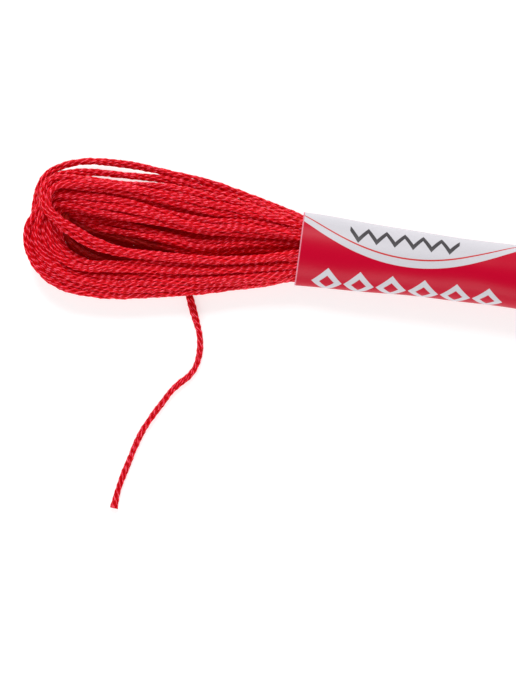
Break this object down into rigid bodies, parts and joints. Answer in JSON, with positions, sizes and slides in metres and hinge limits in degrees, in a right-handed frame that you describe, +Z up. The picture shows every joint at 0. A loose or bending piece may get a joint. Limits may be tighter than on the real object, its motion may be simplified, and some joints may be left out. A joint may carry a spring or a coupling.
{
  "type": "skein of embroidery floss",
  "caption": "Skein of stranded cotton embroidery floss, its loops fanned out at the ends, held round the middle by a printed paper band, with a loose thread end.",
  "frame": {"origin": "middle of the paper band's flat underside, where the skein rests", "axes": "+X runs along the skein, away from the loop with the loose end; +Y across it, away from the loose end; +Z up"},
  "size_m": [0.1497, 0.0561, 0.0095],
  "materials": {
    "floss": "mercerised cotton, soft silky sheen over a fine two-ply twist",
    "band_paper": "thin coated paper, printed, satin"
  },
  "bodies": {
    "root": {"hank": "floss", "band": "band_paper", "tail": "floss"}
  },
  "joints": []
}
